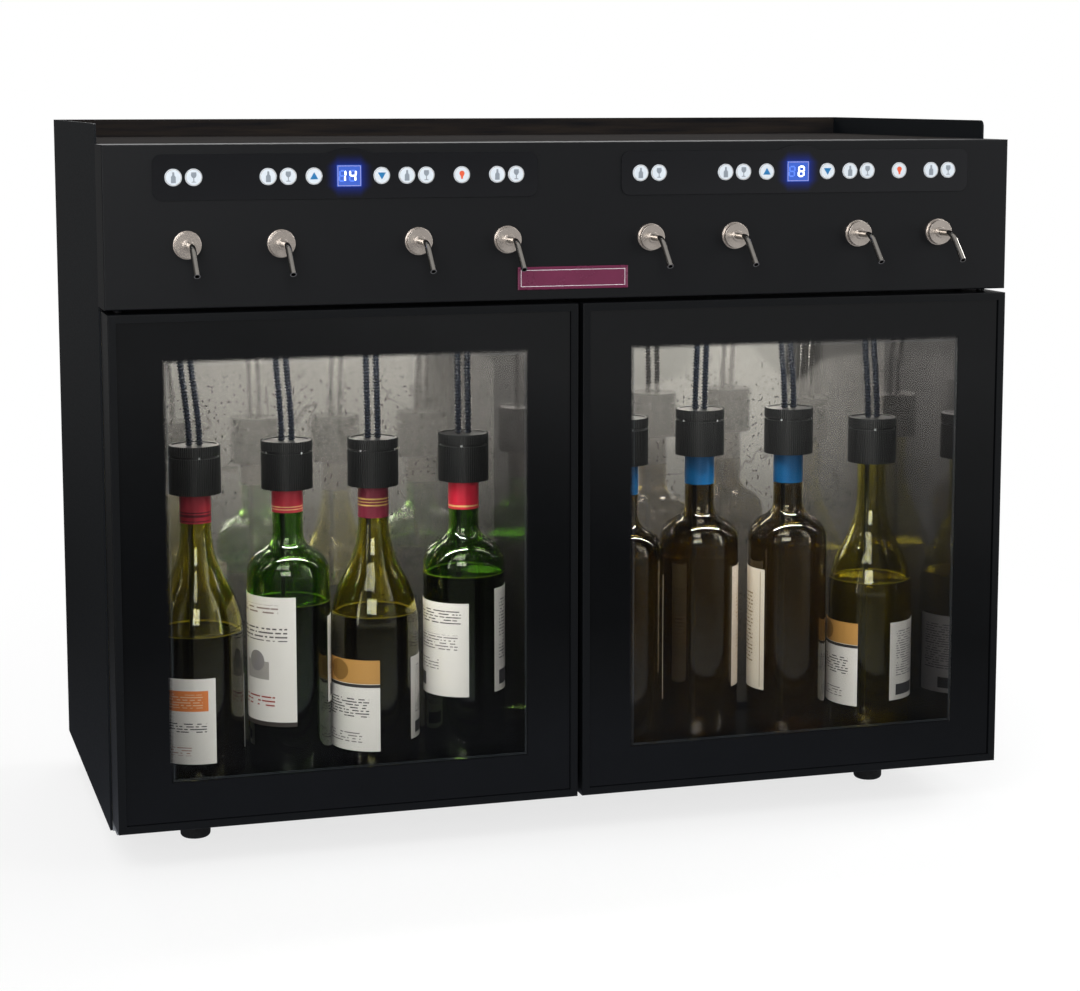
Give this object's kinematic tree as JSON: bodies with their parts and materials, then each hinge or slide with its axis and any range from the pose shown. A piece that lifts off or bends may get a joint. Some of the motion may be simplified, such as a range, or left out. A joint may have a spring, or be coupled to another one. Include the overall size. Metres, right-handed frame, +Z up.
{
  "type": "wine preservation dispenser",
  "caption": "Countertop cabinet with a row of wine spouts, key panels and displays over two glass-doored cooled chambers of stoppered bottles.",
  "frame": {"origin": "on the floor plane, under the middle of the whole machine with its spouts", "axes": "+X to the right seen from the front, +Y from the doors to the back, +Z up"},
  "size_m": [0.85, 0.4658, 0.6595],
  "materials": {
    "painted_steel": "satin black powder coat",
    "tray_steel": "satin black with a faint brown grain",
    "fascia_paint": "satin black powder coat",
    "zinc_screws": "zinc plated",
    "foot_rubber": "matt black",
    "foam": "soft light foam, matt",
    "liner_steel": "bright annealed stainless",
    "tray_plastic": "moulded black",
    "light_diffuser": "frosted diffuser",
    "galvanised": "galvanised sheet",
    "bezel_plastic": "fine satin moulding",
    "display_filter": "blue lit display",
    "circuit_board": "solder mask",
    "spout_steel": "polished stainless",
    "flange_steel": "satin stainless",
    "bottle_glass": "moulded green glass",
    "wine": "still liquid",
    "capsule_foil": "lacquered foil",
    "label_paper": "uncoated paper",
    "stopper_plastic": "ribbed moulding",
    "hose": "ribbed blue-black hose",
    "valve_body": "moulded nylon",
    "fitting_brass": "nickel plated brass",
    "cooler": "machined",
    "sink_aluminium": "extruded",
    "fan_plastic": "moulded",
    "supply_case": "perforated sheet",
    "inlet_plastic": "moulded nylon",
    "bracket_steel": "zinc plated steel",
    "frame_aluminium": "black anodised",
    "door_glass": "clear double pane",
    "seal_rubber": "soft magnetic seal",
    "key_plastic": "pale translucent cap"
  },
  "bodies": {
    "cabinet": {"cabinet_shell": "painted_steel", "top_tray": "tray_steel", "rear_panel": "painted_steel", "front_fascia": "fascia_paint", "panel_screws": "zinc_screws", "feet": "foot_rubber", "insulation": "foam", "chamber_liners": "liner_steel", "floor_trays": "tray_plastic", "light_bars": "light_diffuser", "machine_deck": "galvanised", "control_bezels": "bezel_plastic", "display_windows": "display_filter", "control_boards": "circuit_board", "spouts": "spout_steel", "spout_flanges": "flange_steel", "bottles": "bottle_glass", "wine": "wine", "capsules": "capsule_foil", "labels": "label_paper", "stoppers": "stopper_plastic", "hoses": "hose", "valve_bank": "valve_body", "gas_inlet": "fitting_brass", "cooling_modules": "cooler", "heat_sinks": "sink_aluminium", "fan_frames": "fan_plastic", "power_supply": "supply_case", "power_inlet": "inlet_plastic", "hinge_brackets": "bracket_steel"},
    "left_door": {"left_door_frame": "frame_aluminium", "left_glass_unit": "door_glass", "left_seal": "seal_rubber"},
    "left_fan": {"left_fan_rotor": "fan_plastic"},
    "left_bottle_key_1_cap": {"left_bottle_key_1": "key_plastic"},
    "left_glass_key_1_cap": {"left_glass_key_1": "key_plastic"},
    "left_bottle_key_2_cap": {"left_bottle_key_2": "key_plastic"},
    "left_glass_key_2_cap": {"left_glass_key_2": "key_plastic"},
    "left_bottle_key_3_cap": {"left_bottle_key_3": "key_plastic"},
    "left_glass_key_3_cap": {"left_glass_key_3": "key_plastic"},
    "left_bottle_key_4_cap": {"left_bottle_key_4": "key_plastic"},
    "left_glass_key_4_cap": {"left_glass_key_4": "key_plastic"},
    "left_up_key_cap": {"left_up_key": "key_plastic"},
    "left_down_key_cap": {"left_down_key": "key_plastic"},
    "left_light_key_cap": {"left_light_key": "key_plastic"},
    "right_door": {"right_door_frame": "frame_aluminium", "right_glass_unit": "door_glass", "right_seal": "seal_rubber"},
    "right_fan": {"right_fan_rotor": "fan_plastic"},
    "right_bottle_key_1_cap": {"right_bottle_key_1": "key_plastic"},
    "right_glass_key_1_cap": {"right_glass_key_1": "key_plastic"},
    "right_bottle_key_2_cap": {"right_bottle_key_2": "key_plastic"},
    "right_glass_key_2_cap": {"right_glass_key_2": "key_plastic"},
    "right_bottle_key_3_cap": {"right_bottle_key_3": "key_plastic"},
    "right_glass_key_3_cap": {"right_glass_key_3": "key_plastic"},
    "right_bottle_key_4_cap": {"right_bottle_key_4": "key_plastic"},
    "right_glass_key_4_cap": {"right_glass_key_4": "key_plastic"},
    "right_up_key_cap": {"right_up_key": "key_plastic"},
    "right_down_key_cap": {"right_down_key": "key_plastic"},
    "right_light_key_cap": {"right_light_key": "key_plastic"}
  },
  "joints": [
    {"name": "left_door_hinge", "type": "hinge", "parent": "cabinet", "child": "left_door", "pos_m": [-0.411, -0.15363, 0.269], "axis": [0, 0, -1], "range_deg": [0, 110]},
    {"name": "right_door_hinge", "type": "hinge", "parent": "cabinet", "child": "right_door", "pos_m": [0.411, -0.15363, 0.269], "axis": [0, 0, 1], "range_deg": [0, 110]},
    {"name": "left_fan_spin", "type": "hinge", "parent": "cabinet", "child": "left_fan", "pos_m": [-0.21, 0.12847, 0.3], "axis": [0, 1, 0], "continuous": true},
    {"name": "right_fan_spin", "type": "hinge", "parent": "cabinet", "child": "right_fan", "pos_m": [0.21, 0.12847, 0.3], "axis": [0, 1, 0], "continuous": true},
    {"name": "left_bottle_key_1_press", "type": "slide", "parent": "cabinet", "child": "left_bottle_key_1_cap", "axis": [0, 1, 0], "range_m": [0, 0.0005], "stiffness_N_per_m": 600},
    {"name": "left_glass_key_1_press", "type": "slide", "parent": "cabinet", "child": "left_glass_key_1_cap", "axis": [0, 1, 0], "range_m": [0, 0.0005], "stiffness_N_per_m": 600},
    {"name": "left_bottle_key_2_press", "type": "slide", "parent": "cabinet", "child": "left_bottle_key_2_cap", "axis": [0, 1, 0], "range_m": [0, 0.0005], "stiffness_N_per_m": 600},
    {"name": "left_glass_key_2_press", "type": "slide", "parent": "cabinet", "child": "left_glass_key_2_cap", "axis": [0, 1, 0], "range_m": [0, 0.0005], "stiffness_N_per_m": 600},
    {"name": "left_bottle_key_3_press", "type": "slide", "parent": "cabinet", "child": "left_bottle_key_3_cap", "axis": [0, 1, 0], "range_m": [0, 0.0005], "stiffness_N_per_m": 600},
    {"name": "left_glass_key_3_press", "type": "slide", "parent": "cabinet", "child": "left_glass_key_3_cap", "axis": [0, 1, 0], "range_m": [0, 0.0005], "stiffness_N_per_m": 600},
    {"name": "left_bottle_key_4_press", "type": "slide", "parent": "cabinet", "child": "left_bottle_key_4_cap", "axis": [0, 1, 0], "range_m": [0, 0.0005], "stiffness_N_per_m": 600},
    {"name": "left_glass_key_4_press", "type": "slide", "parent": "cabinet", "child": "left_glass_key_4_cap", "axis": [0, 1, 0], "range_m": [0, 0.0005], "stiffness_N_per_m": 600},
    {"name": "left_up_key_press", "type": "slide", "parent": "cabinet", "child": "left_up_key_cap", "axis": [0, 1, 0], "range_m": [0, 0.0005], "stiffness_N_per_m": 600},
    {"name": "left_down_key_press", "type": "slide", "parent": "cabinet", "child": "left_down_key_cap", "axis": [0, 1, 0], "range_m": [0, 0.0005], "stiffness_N_per_m": 600},
    {"name": "left_light_key_press", "type": "slide", "parent": "cabinet", "child": "left_light_key_cap", "axis": [0, 1, 0], "range_m": [0, 0.0005], "stiffness_N_per_m": 600},
    {"name": "right_bottle_key_1_press", "type": "slide", "parent": "cabinet", "child": "right_bottle_key_1_cap", "axis": [0, 1, 0], "range_m": [0, 0.0005], "stiffness_N_per_m": 600},
    {"name": "right_glass_key_1_press", "type": "slide", "parent": "cabinet", "child": "right_glass_key_1_cap", "axis": [0, 1, 0], "range_m": [0, 0.0005], "stiffness_N_per_m": 600},
    {"name": "right_bottle_key_2_press", "type": "slide", "parent": "cabinet", "child": "right_bottle_key_2_cap", "axis": [0, 1, 0], "range_m": [0, 0.0005], "stiffness_N_per_m": 600},
    {"name": "right_glass_key_2_press", "type": "slide", "parent": "cabinet", "child": "right_glass_key_2_cap", "axis": [0, 1, 0], "range_m": [0, 0.0005], "stiffness_N_per_m": 600},
    {"name": "right_bottle_key_3_press", "type": "slide", "parent": "cabinet", "child": "right_bottle_key_3_cap", "axis": [0, 1, 0], "range_m": [0, 0.0005], "stiffness_N_per_m": 600},
    {"name": "right_glass_key_3_press", "type": "slide", "parent": "cabinet", "child": "right_glass_key_3_cap", "axis": [0, 1, 0], "range_m": [0, 0.0005], "stiffness_N_per_m": 600},
    {"name": "right_bottle_key_4_press", "type": "slide", "parent": "cabinet", "child": "right_bottle_key_4_cap", "axis": [0, 1, 0], "range_m": [0, 0.0005], "stiffness_N_per_m": 600},
    {"name": "right_glass_key_4_press", "type": "slide", "parent": "cabinet", "child": "right_glass_key_4_cap", "axis": [0, 1, 0], "range_m": [0, 0.0005], "stiffness_N_per_m": 600},
    {"name": "right_up_key_press", "type": "slide", "parent": "cabinet", "child": "right_up_key_cap", "axis": [0, 1, 0], "range_m": [0, 0.0005], "stiffness_N_per_m": 600},
    {"name": "right_down_key_press", "type": "slide", "parent": "cabinet", "child": "right_down_key_cap", "axis": [0, 1, 0], "range_m": [0, 0.0005], "stiffness_N_per_m": 600},
    {"name": "right_light_key_press", "type": "slide", "parent": "cabinet", "child": "right_light_key_cap", "axis": [0, 1, 0], "range_m": [0, 0.0005], "stiffness_N_per_m": 600}
  ]
}
